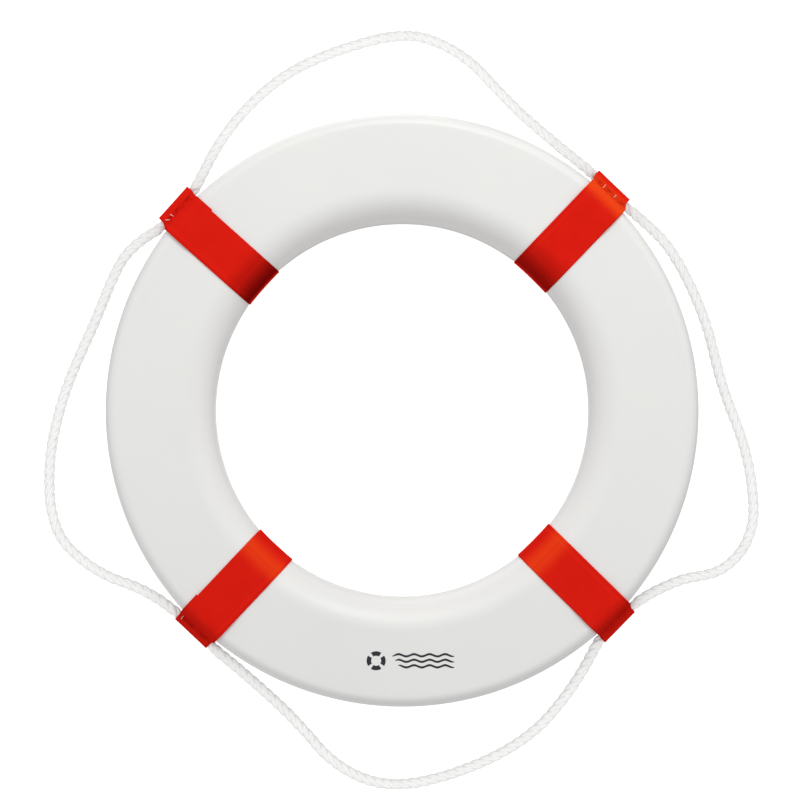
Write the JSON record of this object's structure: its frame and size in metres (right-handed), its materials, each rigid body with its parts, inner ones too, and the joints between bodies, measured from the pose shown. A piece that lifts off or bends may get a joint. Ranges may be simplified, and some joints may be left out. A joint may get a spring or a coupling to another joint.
{
  "type": "ring lifebuoy",
  "caption": "Foam-filled ring lifebuoy with red webbing straps wrapped round it and a white twisted grab line that hangs in loops from the straps' tunnels.",
  "frame": {"origin": "centre of the ring on its mid-plane", "axes": "+Z along the ring's axis, out of the front face; +Y towards the top loop of the grab line; +X towards the right loop"},
  "size_m": [0.7298, 0.7755, 0.0945],
  "materials": {
    "shell_plastic": "satin",
    "foam": "matte",
    "plug_plastic": "satin",
    "webbing": "matte",
    "thread": "matte",
    "rope": "matte"
  },
  "bodies": {
    "ring": {"front_shell": "shell_plastic", "back_shell": "shell_plastic", "foam_core": "foam", "fill_plug": "plug_plastic", "vent_plug": "plug_plastic", "strap_upper_right": "webbing", "stitches_upper_right": "thread", "rope_pass_upper_right": "rope", "strap_upper_left": "webbing", "stitches_upper_left": "thread", "rope_pass_upper_left": "rope", "strap_lower_left": "webbing", "stitches_lower_left": "thread", "rope_pass_lower_left": "rope", "strap_lower_right": "webbing", "stitches_lower_right": "thread", "rope_first_end": "rope", "rope_last_end": "rope"},
    "top_loop": {"grab_line_loop_top": "rope"},
    "left_loop": {"grab_line_loop_left": "rope"},
    "bottom_loop": {"grab_line_loop_bottom": "rope"},
    "right_loop": {"grab_line_loop_right": "rope"}
  },
  "joints": [
    {"name": "top_loop_swing", "type": "hinge", "parent": "ring", "child": "top_loop", "pos_m": [-0.21028, 0.22571, 0], "axis": [0.9992, 0.0393, 0], "range_deg": [-45, 48]},
    {"name": "left_loop_swing", "type": "hinge", "parent": "ring", "child": "left_loop", "pos_m": [-0.23113, -0.2043, 0], "axis": [-0.0427, 0.9991, 0], "range_deg": [-61, 68]},
    {"name": "bottom_loop_swing", "type": "hinge", "parent": "ring", "child": "bottom_loop", "pos_m": [0.19942, -0.23536, 0], "axis": [-0.9998, -0.0192, 0], "range_deg": [-47, 50]},
    {"name": "right_loop_swing", "type": "hinge", "parent": "ring", "child": "right_loop", "pos_m": [0.23255, 0.20268, 0], "axis": [0.0157, -0.9999, 0], "range_deg": [-50, 54]}
  ]
}
